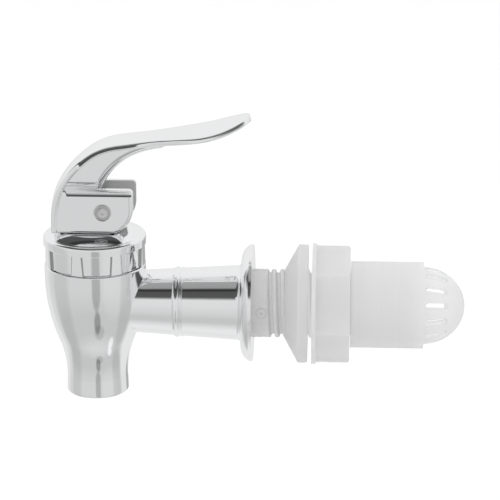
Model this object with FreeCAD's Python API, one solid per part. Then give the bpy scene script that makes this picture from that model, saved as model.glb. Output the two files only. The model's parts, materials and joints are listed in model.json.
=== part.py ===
import FreeCAD
import Part
import math
import os

# Drinks dispenser spigot, millimetres. The origin is the centre of the flange's back face, on the axis of the
# threaded shank. +X runs along the shank into the tank, +Z is up, and the spout hangs from the far end of the tube.

# Valve cup and spout, one chrome-plated moulding with the tube and the wall flange
reach = 36.2              # flange face to the vertical valve axis
cup_radius = 11.65
cup_top = 9.4             # shoulder under the screw cap, above the tube's axis
cup_straight_end = 6.5    # the cup is a straight cylinder above this height
waist_radius = 7.05
waist_depth = 17.5        # narrowest place of the spout, below the tube's axis
spout_depth = 21.7        # bottom of the spout, below the tube's axis
spout_lip_flare = 0.12
spout_lip_round = 0.55
cup_bulge_share = 0.645   # how much of the S-shaped outside the upper, outward curve takes
shank_seat_depth = 0.5    # shallow recess in the flange's back that takes the shank's shoulder
outlet_radius = 5.4
outlet_throat_radius = 4.4
chamber_top_radius = 8.8
chamber_floor_radius = 7.8
seat_height = 5.7         # sealing face of the seat, below the tube's axis
seat_ring_height = 0.9
seat_ring_width = 0.9
seat_floor = 1.9          # thickness of the chamber's floor
neck_radius = 10.2        # outside of the cup's threaded neck, inside the cap
neck_height = 3.6         # neck above the shoulder
shoulder_round = 0.35

# Tube between the cup and the flange
tube_cup_radius = 6.6     # at the valve axis
tube_flange_radius = 8.8  # at the flange
tube_bore = 5.2
bead_place = 17.4         # middle of the bead ring, from the flange face
bead_width = 1.5
bead_proud = 0.38
fine_bead_width = 0.5
fine_bead_proud = 0.23
bead_groove = 0.22
flange_radius = 13.4
flange_thickness = 2.6
flange_rim = 0.7          # straight edge of the flange at its back face
flange_fillet = 1.1
flange_belly_back = 0.72  # the rounded front passes this share of the way forward ...
flange_belly_out = 0.68   # ... when it is this share of the way out

# Screw cap
cap_radius = 11.75
cap_seam = 0.22           # dark gap between the cup and the cap
grip_height = 4.75
grip_depth = 0.45
grip_count = 8
grip_ridge = 2.9          # width of a ridge at its foot
grip_ridge_top = 2.2
grip_turn = -14.0         # a ridge stands this many degrees round from the front
cap_edge_height = 7.05    # rounded shoulder of the cap, above the cup's shoulder
cap_edge_round = 0.9
cap_crown_height = 8.2    # flat crown that the lever stands on, above the cup's shoulder
cap_crown_radius = 7.6
cap_slope_bulge = 0.12    # the slope round the crown bows out by this much
cap_boss_radius = 3.9
cap_boss_length = 2.4
thread_clearance = 0.1

# Stem, seat cup, spring
stem_radius = 2.5
stem_running_clearance = 0.05
stem_collar_radius = 5.1
stem_collar_thickness = 1.3
stem_collar_height = 0.4  # top of the collar, above the tube's axis
stem_button_radius = 2.8
stem_button_thickness = 1.5
stem_button_neck_radius = 1.7
stem_button_neck_length = 1.5
stem_tongue = 6.1         # thickness of the flat head between the lever's cheeks
stem_eye_wall = 1.35
stem_head_slope = 0.5     # the head's back slopes to the eye from here up, below the pin
stem_head_drop = 0.2      # the head reaches this far below the eye
stem_eye_from = -50.0     # the eye's round runs between these angles, from straight ahead
stem_eye_to = 120.0
cup_wall = 1.0            # flexible wall of the silicone seat cup
cup_inner_radius = 5.6
cup_rim_thickness = 1.2
cup_rim_radius = 9.9
cup_nose_radius = 5.35
cup_nose_height = 2.4
soft_clearance = 0.06
spring_wire = 0.75
spring_radius = 4.55      # to the middle of the wire
spring_turns = 7.0
spring_closed_pitch = 1.02  # rise of a closed end turn, in wires
spring_washer_thickness = 0.5
spring_washer_margin = 0.3

# Lever, one casting: strap, fork block, neck with a middle rib, and thumb paddle
block_back = 9.2          # back of the strap's sides, behind the valve axis
block_height = 10.3
block_width = 10.6
cheek = 2.15              # thickness of each side of the fork
cheek_round = 0.9
cheek_edge = 0.8          # rounding of the cheek's outer edge
cheek_lap = 0.7           # how far the cheeks reach into the strap
cheek_lean = 1.2          # the cheek's back leans forward by this much ...
cheek_lean_height = 3.4   # ... over this much of its top
pin_ahead = 2.5           # pin in front of the valve axis, on the paddle's side
pin_height = 5.1          # pin above the cap's crown
pin_radius = 1.95
pin_recess = 0.1
pin_dimple_radius = 0.55
pin_dimple_depth = 0.35
eye_clearance = 0.05
cam_ahead = 1.1           # centre of the rounded lower corner, from the pin
cam_above = 0.6
sheet_thickness = 1.35
sheet_crown = 0.8         # at the paddle's widest place, the sheet's middle stands this far above its edges
sheet_edge_round = 0.42
strap_width = 11.3        # the sheet where it wraps the block's back
neck_width = 10.3
neck_end = 12.0           # the sheet starts to widen here, ahead of the valve axis
paddle_width = 14.2
paddle_middle = 25.7      # widest place of the paddle, ahead of the valve axis
paddle_blunt = 8.0        # the rounded end stops this many degrees short of its tip
lever_reach = 35.4        # tip of the paddle, ahead of the valve axis
lever_rise = 27.05        # tip of the paddle, above the cap's crown
strap_foot = 0.3          # foot of the strap, above the cap's crown
slot_back = 2.9           # back wall of the fork's slot, behind the valve axis
slot_roof = 3.6           # roof of the slot, above the pin
bridge_front = 1.4        # front of the bridge over the slot, ahead of the valve axis
bridge_rise = 0.95        # top of the bridge, above the cheeks
bridge_lap = 0.1          # the bridge's sides reach this far into the cheeks
rib_width = 4.2
rib_round = 1.6           # rounding of the rib's free edge
rib_foot = 1.7            # foot of the rib's free edge, ahead of the valve axis
rib_foot_lean = 71.6      # its direction there, from straight ahead
rib_foot_pull = 6.1       # how far the curve keeps to that direction
rib_end = 15.3            # where the rib starts to run out into the sheet, ahead of the valve axis
rib_end_rise = 19.05      # and above the cap's crown
rib_end_slope = 7.8       # the free edge's direction there
rib_end_pull = 7.2        # how far the curve keeps to it
rib_tail = 5.5            # length of the run-out
rib_tail_rise = 4.2
rib_tail_lean = 55.0
rib_tail_pull = 1.6
rib_depth = 0.7           # the rib starts this far below the sheet's outside

# Shank, gasket, nut and strainer
shank_radius = 7.85       # over the thread's crests
shank_bore = 4.6
shank_length = 34.0       # behind the flange face
plug_radius = 7.0         # front end of the shank, inside the tube
plug_length = 12.0
plug_clearance = 0.05
ring_wire = 0.72          # radius of the O-ring's section
ring_place = 8.6          # O-ring, in front of the flange face
gasket_start = 7.3
gasket_cone = 3.1
gasket_rim = 2.1
gasket_width = 5.7        # from the shank's thread out to the gasket's edge
gasket_lip = 1.2          # flat edge round the dished back
gasket_dish = 0.5
nut_gap = 1.05            # between the gasket and the nut
nut_flange_proud = 0.29   # the nut's flange, beyond the gasket's edge
nut_flange = 0.95
nut_length = 8.65
nut_corner_step = 0.44    # the nut's corners, inside its flange's edge
nut_chamfer = 0.4
nut_chamfer_drop = 0.4
nut_turn = 18.0           # a corner of the nut stands this many degrees behind the top
strainer_gap = 0.12
strainer_radius = 9.9
strainer_sleeve = 16.6
strainer_wall = 1.2
strainer_step = 1.1       # the dome is this much smaller in radius than the sleeve
strainer_dome = 9.4
strainer_stop = 1.0       # the sleeve's bore narrows this far before its end
slot_count = 14
slot_turn = 20.3          # the first slot stands this many degrees in front of the top
slot_width = 1.3
slot_round = 0.5
slot_start = 0.35         # from the sleeve's end
slot_length = 4.8
slot_floor = 2.3          # the slots' cutters start this far from the axis

# Heights that follow from the sizes above
cap_crown = cup_top + cap_crown_height
neck_top = cup_top + neck_height
cap_underside = neck_top + cup_rim_thickness
pin_x = -reach + pin_ahead
pin_z = cap_crown + pin_height
cam_radius = pin_height + cam_above
gasket_radius = shank_radius + gasket_width
nut_flange_radius = gasket_radius + nut_flange_proud
nut_corner_radius = nut_flange_radius - nut_corner_step
nut_start = gasket_start + gasket_cone + gasket_rim + nut_gap
strainer_start = nut_start + nut_length + strainer_gap
over = 1.0                # how far a cutter reaches past the face that it cuts
sheet_steps = 13          # sections of the lever's sheet up to its widest place
tip_steps = 8             # and from there to its tip
wall_steps = 24           # points along the inside of the sheet

QUARTER = 4 / 3 * (math.sqrt(2) - 1)
ARC_MIDDLE = 1 - math.sqrt(0.5)
UP = FreeCAD.Vector(0, 0, 1)
ALONG = FreeCAD.Vector(1, 0, 0)
ACROSS = FreeCAD.Vector(0, 1, 0)


class Outline:
    """A closed outline in the XZ plane, drawn edge after edge."""

    def __init__(self, x, z):
        self.start = FreeCAD.Vector(x, 0, z)
        self.pen = self.start
        self.edges = []

    def line(self, x, z):
        end = FreeCAD.Vector(x, 0, z)
        self.edges.append(Part.LineSegment(self.pen, end).toShape())
        self.pen = end
        return self

    def arc(self, middle, end):
        a = FreeCAD.Vector(middle[0], 0, middle[1])
        b = FreeCAD.Vector(end[0], 0, end[1])
        self.edges.append(Part.Arc(self.pen, a, b).toShape())
        self.pen = b
        return self

    def quarter(self, end, corner):
        """A quarter of an ellipse, tangent at both ends to the lines that meet in the corner."""
        a = FreeCAD.Vector(corner[0], 0, corner[1])
        b = FreeCAD.Vector(end[0], 0, end[1])
        curve = Part.BezierCurve()
        curve.setPoles([self.pen, self.pen + (a - self.pen) * QUARTER, b + (a - b) * QUARTER, b])
        self.edges.append(curve.toShape())
        self.pen = b
        return self

    def bend(self, end, leaving, pull_out, arriving, pull_in):
        """A smooth bend that leaves and arrives at given angles; the pulls say how long it keeps to them."""
        b = FreeCAD.Vector(end[0], 0, end[1])
        first = on_arc((self.pen.x, self.pen.z), pull_out, leaving)
        last = on_arc(end, -pull_in, arriving)
        curve = Part.BezierCurve()
        curve.setPoles([self.pen, FreeCAD.Vector(first[0], 0, first[1]), FreeCAD.Vector(last[0], 0, last[1]), b])
        self.edges.append(curve.toShape())
        self.pen = b
        return self

    def spline(self, points):
        curve = Part.BSplineCurve()
        curve.interpolate([self.pen] + [FreeCAD.Vector(x, 0, z) for x, z in points])
        self.edges.append(curve.toShape())
        self.pen = curve.EndPoint
        return self

    def face(self):
        if self.pen.distanceToPoint(self.start) > 1e-6:
            self.line(self.start.x, self.start.z)
        return Part.Face(Part.Wire(self.edges))

    def about_valve(self):
        """The outline's X is the radius: turned about the vertical valve axis."""
        turned = self.face().revolve(FreeCAD.Vector(0, 0, 0), UP, 360)
        turned.translate(FreeCAD.Vector(-reach, 0, 0))
        return turned

    def about_shank(self):
        """The outline's Z is the radius: turned about the horizontal shank axis."""
        return self.face().revolve(FreeCAD.Vector(0, 0, 0), ALONG, 360)

    def plate(self, width, middle=0.0):
        """The outline as a plate, width thick across Y."""
        plate = self.face().extrude(ACROSS * width)
        plate.translate(FreeCAD.Vector(0, middle - width / 2, 0))
        return plate


def on_arc(centre, radius, degrees):
    a = math.radians(degrees)
    return centre[0] + radius * math.cos(a), centre[1] + radius * math.sin(a)


def upright(radius, low, high):
    """A cylinder on the valve axis."""
    return Part.makeCylinder(radius, high - low, FreeCAD.Vector(-reach, 0, low), UP)


def lying(radius, start, end):
    """A cylinder on the shank axis."""
    return Part.makeCylinder(radius, end - start, FreeCAD.Vector(start, 0, 0), ALONG)


def crosswise(radius, width):
    """A cylinder along the lever's pin, centred on the middle plane."""
    return Part.makeCylinder(radius, width, FreeCAD.Vector(pin_x, -width / 2, pin_z), ACROSS)


def one_solid(shape):
    shape = shape.removeSplitter()
    return shape.Solids[0] if len(shape.Solids) == 1 else shape


def tube_radius(x):
    """Outside radius of the tapered tube at a place along X."""
    return tube_flange_radius + (tube_cup_radius - tube_flange_radius) * (-x / reach)


def cup_outside():
    """The cup and spout as one turned solid: an outward curve runs into an inward one above the waist."""
    drop = cup_straight_end + waist_depth
    step = cup_radius - waist_radius
    both = (step ** 2 + drop ** 2) / (2 * step)
    turn = math.degrees(math.asin(drop / both))
    upper = both * cup_bulge_share
    lower = both - upper
    upper_centre = (cup_radius - upper, cup_straight_end)
    lower_centre = (waist_radius + lower, -waist_depth)
    lip = waist_radius + spout_lip_flare
    o = Outline(0, cup_top)
    o.line(cup_radius - shoulder_round, cup_top)
    o.arc(on_arc((cup_radius - shoulder_round, cup_top - shoulder_round), shoulder_round, 45),
          (cup_radius, cup_top - shoulder_round))
    o.line(cup_radius, cup_straight_end)
    o.arc(on_arc(upper_centre, upper, -turn / 2), on_arc(upper_centre, upper, -turn))
    o.arc(on_arc(lower_centre, lower, 180 - turn / 2), (waist_radius, -waist_depth))
    o.line(lip, -spout_depth + spout_lip_round)
    o.arc(on_arc((lip - spout_lip_round, -spout_depth + spout_lip_round), spout_lip_round, -45),
          (lip - spout_lip_round, -spout_depth))
    o.line(0, -spout_depth)
    return o.about_valve()


def tube_outside():
    """Tapered tube with its bead ring, running into the wall flange's rounded front."""
    front = -flange_thickness
    foot = tube_radius(front - flange_fillet)
    left = -bead_place - bead_width / 2
    right = -bead_place + bead_width / 2
    fine_start = right + bead_groove
    fine_end = fine_start + fine_bead_width
    o = Outline(-reach, 0)
    o.line(-reach, tube_cup_radius)
    o.line(left, tube_radius(left))
    o.arc((-bead_place, tube_radius(-bead_place) + bead_proud), (right, tube_radius(right)))
    o.line(fine_start, tube_radius(fine_start) - bead_groove / 2)
    fine_middle = (fine_start + fine_end) / 2
    o.arc((fine_middle, tube_radius(fine_middle) + fine_bead_proud), (fine_end, tube_radius(fine_end)))
    o.line(front - flange_fillet, foot)
    corner = flange_fillet * ARC_MIDDLE
    o.arc((front - corner, foot + corner), (front, foot + flange_fillet))
    belly_x = -flange_rim - (flange_thickness - flange_rim) * flange_belly_back
    belly_r = foot + flange_fillet + (flange_radius - foot - flange_fillet) * flange_belly_out
    o.arc((belly_x, belly_r), (-flange_rim, flange_radius))
    o.line(0, flange_radius)
    o.line(0, 0)
    return o.about_shank()


def valve_body():
    """Chrome body: cup, spout, tube and flange, with the chamber, seat, outlet and the shank's socket cut out."""
    body = cup_outside().fuse(tube_outside())
    body = body.fuse(upright(neck_radius, cup_top - over, neck_top))
    floor = -seat_height - seat_ring_height
    throat = floor - seat_floor
    chamber = Outline(0, neck_top + over)
    chamber.line(chamber_top_radius, neck_top + over)
    chamber.line(chamber_top_radius, cup_top)
    chamber.line(chamber_floor_radius, floor)
    chamber.line(outlet_throat_radius + seat_ring_width, floor)
    chamber.line(outlet_throat_radius + seat_ring_width, -seat_height)
    chamber.line(0, -seat_height)
    body = body.cut(chamber.about_valve())
    body = body.cut(upright(outlet_throat_radius, throat - over, -seat_height + over))
    body = body.cut(upright(outlet_radius, -spout_depth - over, throat))
    inlet = lying(tube_bore, -reach + chamber_floor_radius / 2, over)
    keep_clear = upright(chamber_floor_radius, -spout_depth, -tube_bore - over)
    body = body.cut(inlet.cut(keep_clear))
    body = body.cut(lying(plug_radius + plug_clearance, -plug_length, over))
    return one_solid(body.cut(lying(shank_radius + thread_clearance, -shank_seat_depth, over)))


def grip_panel():
    """One recess between two ridges of the cap, pointing along +X before it is turned into place."""
    half = cap_radius * math.sin(math.pi / grip_count)
    low = cup_top - over
    high = cup_top + grip_height
    foot = half - grip_ridge / 2
    head = half - grip_ridge_top / 2
    wires = []
    for x in (cap_radius - 2 * grip_depth - over, cap_radius + over):
        corners = [(-foot, low), (foot, low), (head, high), (-head, high), (-foot, low)]
        wires.append(Part.makePolygon([FreeCAD.Vector(x, y, z) for y, z in corners]))
    wedge = Part.makeLoft(wires, True, True)
    return wedge.cut(Part.makeCylinder(cap_radius - grip_depth, high + over, FreeCAD.Vector(0, 0, 0), UP))


def bonnet_cap():
    """Screw cap: ridged skirt over the cup's neck, rounded shoulder, crowned top and the stem's guide."""
    skirt = cup_top + cap_seam
    edge = cup_top + cap_edge_height
    inner = neck_radius + thread_clearance
    o = Outline(stem_radius + stem_running_clearance, cap_crown)
    o.line(cap_crown_radius, cap_crown)
    slope_middle = (cap_crown_radius + cap_radius - cap_edge_round) / 2
    o.arc((slope_middle, (cap_crown + edge) / 2 + cap_slope_bulge), (cap_radius - cap_edge_round, edge))
    o.arc(on_arc((cap_radius - cap_edge_round, edge - cap_edge_round), cap_edge_round, 45),
          (cap_radius, edge - cap_edge_round))
    o.line(cap_radius, skirt)
    o.line(inner, skirt)
    o.line(inner, cap_underside)
    o.line(cap_boss_radius, cap_underside)
    o.line(cap_boss_radius, cap_underside - cap_boss_length)
    o.line(stem_radius + stem_running_clearance, cap_underside - cap_boss_length)
    cap = o.about_valve()
    for i in range(grip_count):
        panel = grip_panel()
        panel.rotate(FreeCAD.Vector(0, 0, 0), UP, -90 + grip_turn + (i + 0.5) * 360 / grip_count)
        panel.translate(FreeCAD.Vector(-reach, 0, 0))
        cap = cap.cut(panel)
    return one_solid(cap)


def seat_cup():
    """Silicone seat cup: its rim is clamped under the cap and its nose closes the outlet."""
    outer = cup_inner_radius + cup_wall
    collar_foot = stem_collar_height - stem_collar_thickness
    button_top = collar_foot - stem_button_neck_length
    button_foot = button_top - stem_button_thickness
    o = Outline(0, -seat_height)
    o.line(cup_nose_radius, -seat_height)
    o.line(outer, -seat_height + cup_nose_height)
    o.line(outer, neck_top)
    o.line(cup_rim_radius, neck_top)
    o.line(cup_rim_radius, cap_underside)
    o.line(cup_inner_radius, cap_underside)
    o.line(cup_inner_radius, collar_foot)
    o.line(stem_button_neck_radius + soft_clearance, collar_foot)
    o.line(stem_button_neck_radius + soft_clearance, button_top)
    o.line(stem_button_radius + soft_clearance, button_top)
    o.line(stem_button_radius + soft_clearance, button_foot)
    o.line(0, button_foot)
    return o.about_valve()


def stem():
    """Stem: button and collar at the foot, a round shank in the cap's guide, a flat head with the pin's eye."""
    collar_foot = stem_collar_height - stem_collar_thickness
    button_top = collar_foot - stem_button_neck_length
    eye = pin_radius + eye_clearance + stem_eye_wall
    rod = upright(stem_button_radius, button_top - stem_button_thickness, button_top)
    rod = rod.fuse(upright(stem_button_neck_radius, button_top, collar_foot))
    rod = rod.fuse(upright(stem_collar_radius, collar_foot, stem_collar_height))
    rod = rod.fuse(upright(stem_radius, stem_collar_height, pin_z))
    back = -reach - stem_radius
    foot = pin_z - eye - stem_head_drop
    middle = (stem_eye_from + stem_eye_to) / 2
    head = Outline(back, foot)
    head.line(pin_x, foot)
    head.line(*on_arc((pin_x, pin_z), eye, stem_eye_from))
    head.arc(on_arc((pin_x, pin_z), eye, middle), on_arc((pin_x, pin_z), eye, stem_eye_to))
    head.line(back, pin_z - stem_head_slope)
    rod = rod.fuse(head.plate(stem_tongue))
    return one_solid(rod.cut(crosswise(pin_radius + eye_clearance, stem_tongue + over)))


def return_spring():
    """Compression spring between the stem's collar and the washer under the cap, with closed, flattened ends."""
    low = stem_collar_height
    high = cap_underside - spring_washer_thickness
    closed = spring_wire * spring_closed_pitch
    coil = high - low - spring_wire
    pitch = (coil - 2 * closed) / (spring_turns - 2)
    turns = 0.0
    height = 0.0
    pieces = []
    for count, rise in ((1.0, closed), (spring_turns - 2, pitch), (1.0, closed)):
        helix = Part.makeHelix(rise, rise * count, spring_radius)
        helix.rotate(FreeCAD.Vector(0, 0, 0), UP, 360 * turns)
        helix.translate(FreeCAD.Vector(0, 0, height))
        pieces.extend(helix.Edges)
        turns += count
        height += rise * count
    path = Part.Wire(pieces)
    ring = Part.Wire(Part.makeCircle(spring_wire / 2, FreeCAD.Vector(spring_radius, 0, 0), ACROSS))
    wound = path.makePipeShell([ring], True, True)
    wound.translate(FreeCAD.Vector(-reach, 0, low + spring_wire / 2))
    return wound


def spring_washer():
    """Washer that the turning spring bears on, under the cap."""
    low = cap_underside - spring_washer_thickness
    washer = upright(spring_radius + spring_wire / 2 + spring_washer_margin, low, cap_underside)
    return washer.cut(upright(cap_boss_radius + soft_clearance, low - over, cap_underside + over))


def sheet_drop(half):
    """How far the sheet's edges lie below its middle where it is twice half wide."""
    return sheet_crown * (2 * half / paddle_width) ** 2


def spine_curve():
    """Middle of the sheet's outside: up the block's back, over the neck and out to the paddle's tip."""
    back = -reach - block_back - sheet_drop(strap_width / 2)
    foot = cap_crown + strap_foot
    length = lever_reach - reach - back
    rise = lever_rise - strap_foot
    shares = [(0.0, 0.0), (0.003, 0.168), (0.023, 0.333), (0.075, 0.497), (0.156, 0.639), (0.257, 0.746),
              (0.364, 0.789), (0.503, 0.819), (0.653, 0.857), (0.786, 0.899), (0.892, 0.945), (1.0, 1.0)]
    curve = Part.BSplineCurve()
    curve.interpolate([FreeCAD.Vector(back + length * u, 0, foot + rise * v) for u, v in shares])
    return curve


def spine_place(curve, x):
    """Parameter of the spine at a place along X, found by halving; the spine runs forward all the way."""
    low = curve.FirstParameter
    high = curve.LastParameter
    while high - low > 1e-6:
        middle = (low + high) / 2
        if curve.value(middle).x < x:
            low = middle
        else:
            high = middle
    return (low + high) / 2


def outward(curve, parameter):
    """Unit vector out of the sheet's crowned side."""
    return FreeCAD.Vector(*curve.tangent(parameter)[0]).cross(ACROSS)


def ease(share):
    share = min(1.0, max(0.0, share))
    return share * share * (3 - 2 * share)


def sheet_half_width(x):
    """Half the sheet's width: wide at the strap, less in the neck, then out to the paddle."""
    ahead = x + reach
    strap = neck_width + (strap_width - neck_width) * ease(-ahead / block_back)
    widening = ease((ahead - neck_end) / (paddle_middle - neck_end))
    return (strap + (paddle_width - neck_width) * widening) / 2


def sheet_section(curve, parameter, half):
    """Section of the sheet square to the spine: crowned outside, flat inside, rounded edges."""
    point = curve.value(parameter)
    out = outward(curve, parameter)
    r = sheet_edge_round
    bit = r * ARC_MIDDLE
    top = sheet_drop(half)
    foot = top + sheet_thickness
    corners = [(r - half, top), (0, 0), (half - r, top), (half - bit, top + bit), (half, top + r), (half, foot - r),
               (half - bit, foot - bit), (half - r, foot), (0, sheet_thickness), (r - half, foot),
               (bit - half, foot - bit), (-half, foot - r), (-half, top + r), (bit - half, top + bit)]
    p = [point + ACROSS * y - out * depth for y, depth in corners]
    edges = [Part.Arc(p[0], p[1], p[2]), Part.Arc(p[2], p[3], p[4]), Part.LineSegment(p[4], p[5]),
             Part.Arc(p[5], p[6], p[7]), Part.Arc(p[7], p[8], p[9]), Part.Arc(p[9], p[10], p[11]),
             Part.LineSegment(p[11], p[12]), Part.Arc(p[12], p[13], p[0])]
    return Part.Wire([edge.toShape() for edge in edges])


def lever_sheet():
    """The lever's crowned sheet: even steps up to the paddle's widest place, then round an ellipse to its tip."""
    curve = spine_curve()
    widest = spine_place(curve, paddle_middle - reach)
    sections = []
    for i in range(sheet_steps):
        place = curve.FirstParameter + (widest - curve.FirstParameter) * i / sheet_steps
        sections.append(sheet_section(curve, place, sheet_half_width(curve.value(place).x)))
    for i in range(tip_steps + 1):
        angle = math.radians((90 - paddle_blunt) * i / tip_steps)
        x = paddle_middle + (lever_reach - paddle_middle) * math.sin(angle) - reach
        sections.append(sheet_section(curve, spine_place(curve, x), paddle_width / 2 * math.cos(angle)))
    return Part.makeLoft(sections, True, False)


def inside_line(top):
    """Points a little below the sheet's outside, from its foot up to a height or to the rib's end."""
    curve = spine_curve()
    last = spine_place(curve, rib_end + rib_tail - reach)
    points = []
    for i in range(wall_steps + 1):
        place = curve.FirstParameter + (last - curve.FirstParameter) * i / wall_steps
        point = curve.value(place) - outward(curve, place) * rib_depth
        if point.z < top:
            points.append((point.x, point.z))
    return points


def lever_cheek(side):
    """One side of the fork, with the rounded lower corner that rolls on the cap's crown."""
    back = -reach - block_back + cheek_lap
    top = cap_crown + block_height
    cam = (pin_x + cam_ahead, pin_z + cam_above)
    front = cam[0] + cam_radius
    o = Outline(back, cap_crown)
    o.line(cam[0], cap_crown)
    o.arc(on_arc(cam, cam_radius, -45), (front, cam[1]))
    o.line(front, top - cheek_round)
    o.arc(on_arc((front - cheek_round, top - cheek_round), cheek_round, 45), (front - cheek_round, top))
    o.line(back + cheek_lean, top)
    o.line(back, top - cheek_lean_height)
    plate = o.plate(cheek, side * (block_width - cheek) / 2)
    rounded = []
    for edge in plate.Edges:
        box = edge.BoundBox
        outer = min(abs(box.YMin), abs(box.YMax)) > block_width / 2 - cheek / 2
        if outer and box.XMax > -reach:
            rounded.append(edge)
    return plate.makeFillet(cheek_edge, rounded)


def fork_bridge():
    """Back wall of the fork's slot and the bridge over it, between the cheeks."""
    top = cap_crown + block_height + bridge_rise
    front = -reach + bridge_front
    slot = -reach - slot_back
    roof = pin_z + slot_roof
    wall = inside_line(top)
    o = Outline(wall[0][0], cap_crown)
    o.line(*wall[0])
    o.spline(wall[2::2])
    o.line(front, top)
    o.line(front, roof)
    o.line(slot, roof)
    o.line(slot, cap_crown)
    return o.plate(block_width - 2 * cheek + 2 * bridge_lap)


def neck_rib():
    """Middle rib under the neck, with a rounded free edge, from the bridge out into the paddle's underside."""
    roof = pin_z + slot_roof
    rear = -reach - block_back + cheek_lap
    end = (rib_end - reach, cap_crown + rib_end_rise)
    tail = (end[0] + rib_tail, end[1] + rib_tail_rise)
    high = cap_crown + lever_rise
    o = Outline(rear, roof)
    o.line(rear, high)
    o.line(tail[0], high)
    o.line(*tail)
    o.bend(end, 180 + rib_tail_lean, rib_tail_pull, 180 + rib_end_slope, rib_tail_pull)
    o.bend((rib_foot - reach, roof), 180 + rib_end_slope, rib_end_pull, 180 + rib_foot_lean, rib_foot_pull)
    plate = o.plate(rib_width)
    free = []
    for edge in plate.Edges:
        box = edge.BoundBox
        slants = min(box.XLength, box.ZLength) > over
        if slants and box.YLength < rib_round and box.XMin > rib_foot - reach - over:
            free.append(edge)
    plate = plate.makeFillet(rib_round, free)
    wall = inside_line(high)
    under = Outline(wall[0][0], roof - over)
    under.line(*wall[0])
    under.spline(wall[2::2])
    under.line(wall[-1][0], roof - over)
    return plate.common(under.plate(rib_width + over))


def lever():
    """Lever: sheet, bridge, rib and the two cheeks, bored for the pin."""
    body = lever_sheet()
    for piece in (fork_bridge(), neck_rib(), lever_cheek(-1), lever_cheek(1)):
        body = body.fuse(piece)
    return one_solid(body.cut(crosswise(pin_radius, block_width + over)))


def pivot_pin():
    """Pin, a press fit in the cheeks, its ends just below their faces and dimpled."""
    length = block_width - 2 * pin_recess
    pin = crosswise(pin_radius, length)
    for side in (-1, 1):
        centre = FreeCAD.Vector(pin_x, side * length / 2, pin_z)
        pin = pin.cut(Part.makeCylinder(pin_dimple_radius, pin_dimple_depth, centre, ACROSS * -side))
    return pin


def shank():
    """White plastic shank: plug with its O-ring groove inside the tube, thread's outside behind the flange."""
    body = lying(plug_radius, -plug_length, 0).fuse(lying(shank_radius, -shank_seat_depth, shank_length))
    groove = lying(plug_radius + over, -ring_place - ring_wire, -ring_place + ring_wire)
    floor = plug_radius + plug_clearance - 2 * ring_wire
    body = body.cut(groove.cut(lying(floor, -plug_length, 0)))
    return one_solid(body.cut(lying(shank_bore, -plug_length - over, shank_length + over)))


def shank_ring():
    """O-ring that seals the shank's plug in the tube."""
    middle = plug_radius + plug_clearance - ring_wire
    return Part.makeTorus(middle, ring_wire, FreeCAD.Vector(-ring_place, 0, 0), ALONG)


def cone_gasket():
    """Soft gasket: its cone centres in the tank's hole and its dished back faces the nut."""
    bore = shank_radius + thread_clearance
    end = gasket_start + gasket_cone + gasket_rim
    rim = gasket_start + gasket_cone
    o = Outline(gasket_start, bore)
    o.line(rim, gasket_radius)
    o.line(end, gasket_radius)
    o.line(end, gasket_radius - gasket_lip)
    o.line(end - gasket_dish, bore)
    return o.about_shank()


def hex_nut():
    """Hexagon nut with a washer flange."""
    bore = shank_radius + thread_clearance
    end = nut_start + nut_length
    corners = [on_arc((0, 0), nut_corner_radius, 90 - nut_turn + 60 * i) for i in range(7)]
    hexagon = Part.makePolygon([FreeCAD.Vector(nut_start, y, z) for y, z in corners])
    nut = Part.Face(hexagon).extrude(ALONG * nut_length)
    o = Outline(nut_start, 0)
    o.line(nut_start, nut_corner_radius)
    o.line(end - nut_chamfer, nut_corner_radius)
    o.line(end, nut_corner_radius - nut_chamfer_drop)
    o.line(end, 0)
    nut = nut.common(o.about_shank())
    nut = nut.fuse(lying(nut_flange_radius, nut_start, nut_start + nut_flange))
    return one_solid(nut.cut(lying(bore, nut_start - over, end + over)))


def strainer():
    """Strainer: a sleeve screwed on the shank, and a slotted dome."""
    bore = shank_radius + thread_clearance
    end = strainer_start + strainer_sleeve
    base = strainer_radius - strainer_step
    o = Outline(strainer_start, bore)
    o.line(strainer_start, strainer_radius)
    o.line(end, strainer_radius)
    o.line(end, base)
    o.quarter((end + strainer_dome, 0), (end + strainer_dome, base))
    inner_base = base - strainer_wall
    inner_dome = strainer_dome - strainer_wall
    o.line(end + inner_dome, 0)
    o.quarter((end, inner_base), (end + inner_dome, inner_base))
    o.line(end - strainer_stop, bore)
    body = o.about_shank()
    for i in range(slot_count):
        slot = Part.makeBox(slot_length, slot_width, strainer_radius + over,
                            FreeCAD.Vector(end + slot_start, -slot_width / 2, slot_floor))
        slot = slot.makeFillet(slot_round, [edge for edge in slot.Edges if edge.BoundBox.ZLength > strainer_radius])
        slot.rotate(FreeCAD.Vector(0, 0, 0), ALONG, slot_turn + 360 / slot_count * i)
        body = body.cut(slot)
    return one_solid(body)


PIECES = {
    "valve_body": valve_body,
    "bonnet_cap": bonnet_cap,
    "seat_cup": seat_cup,
    "stem": stem,
    "return_spring": return_spring,
    "spring_washer": spring_washer,
    "lever": lever,
    "pivot_pin": pivot_pin,
    "shank": shank,
    "shank_ring": shank_ring,
    "cone_gasket": cone_gasket,
    "hex_nut": hex_nut,
    "strainer": strainer,
}

os.makedirs("parts", exist_ok=True)
for name, make in PIECES.items():
    solid = make()
    solid.exportStep("parts/" + name + ".step")
    box = solid.BoundBox
    print(name, len(solid.Solids), solid.isValid(), round(solid.Volume, 1), "X", round(box.XMin, 2), round(box.XMax, 2),
          "Y", round(box.YMin, 2), round(box.YMax, 2), "Z", round(box.ZMin, 2), round(box.ZMax, 2))
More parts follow.
